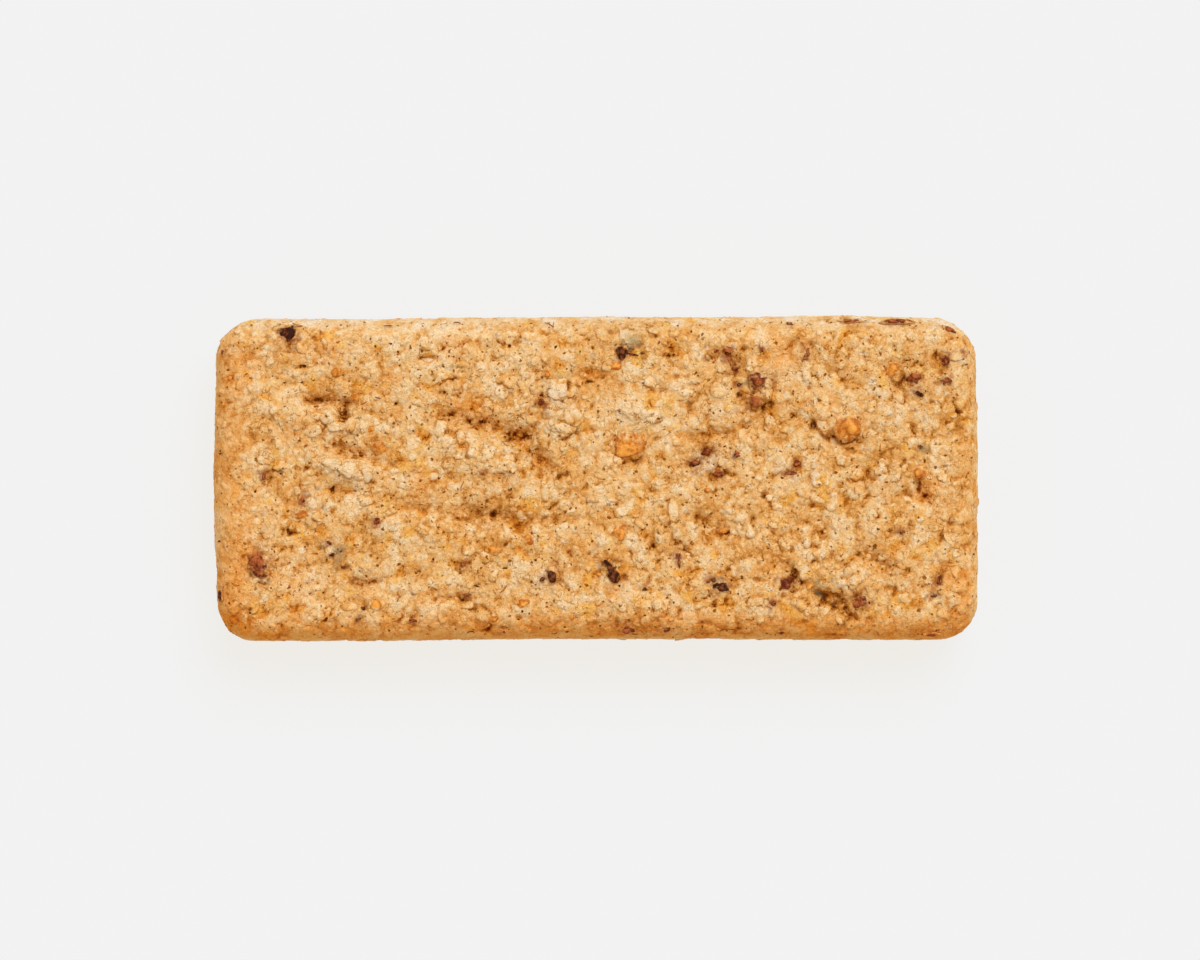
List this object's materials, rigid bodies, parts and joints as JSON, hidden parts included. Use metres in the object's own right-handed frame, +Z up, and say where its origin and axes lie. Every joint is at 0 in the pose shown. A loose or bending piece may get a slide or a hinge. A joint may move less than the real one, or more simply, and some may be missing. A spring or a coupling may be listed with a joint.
{
  "type": "granola bar",
  "caption": "Baked granola bar with rounded corners, soft shoulders, a flat underside and an uneven crumb top with clefts and low mounds.",
  "frame": {"origin": "middle of the flat underside", "axes": "+Z up out of the crumb top, +X along the bar's length, +Y across it"},
  "size_m": [0.095, 0.0404, 0.0141],
  "materials": {
    "baked_crumb": "matte baked oat crumb, golden brown, browner at the rim",
    "pale_grain": "matte cream oat grain",
    "amber_nut": "satin amber nut piece",
    "red_fruit": "satin dried fruit and skin flake, red-brown",
    "dark_bit": "satin dark bit, purple-brown",
    "bran_fleck": "matte brown bran fleck"
  },
  "bodies": {
    "root": {"bar": "baked_crumb"}
  },
  "joints": []
}
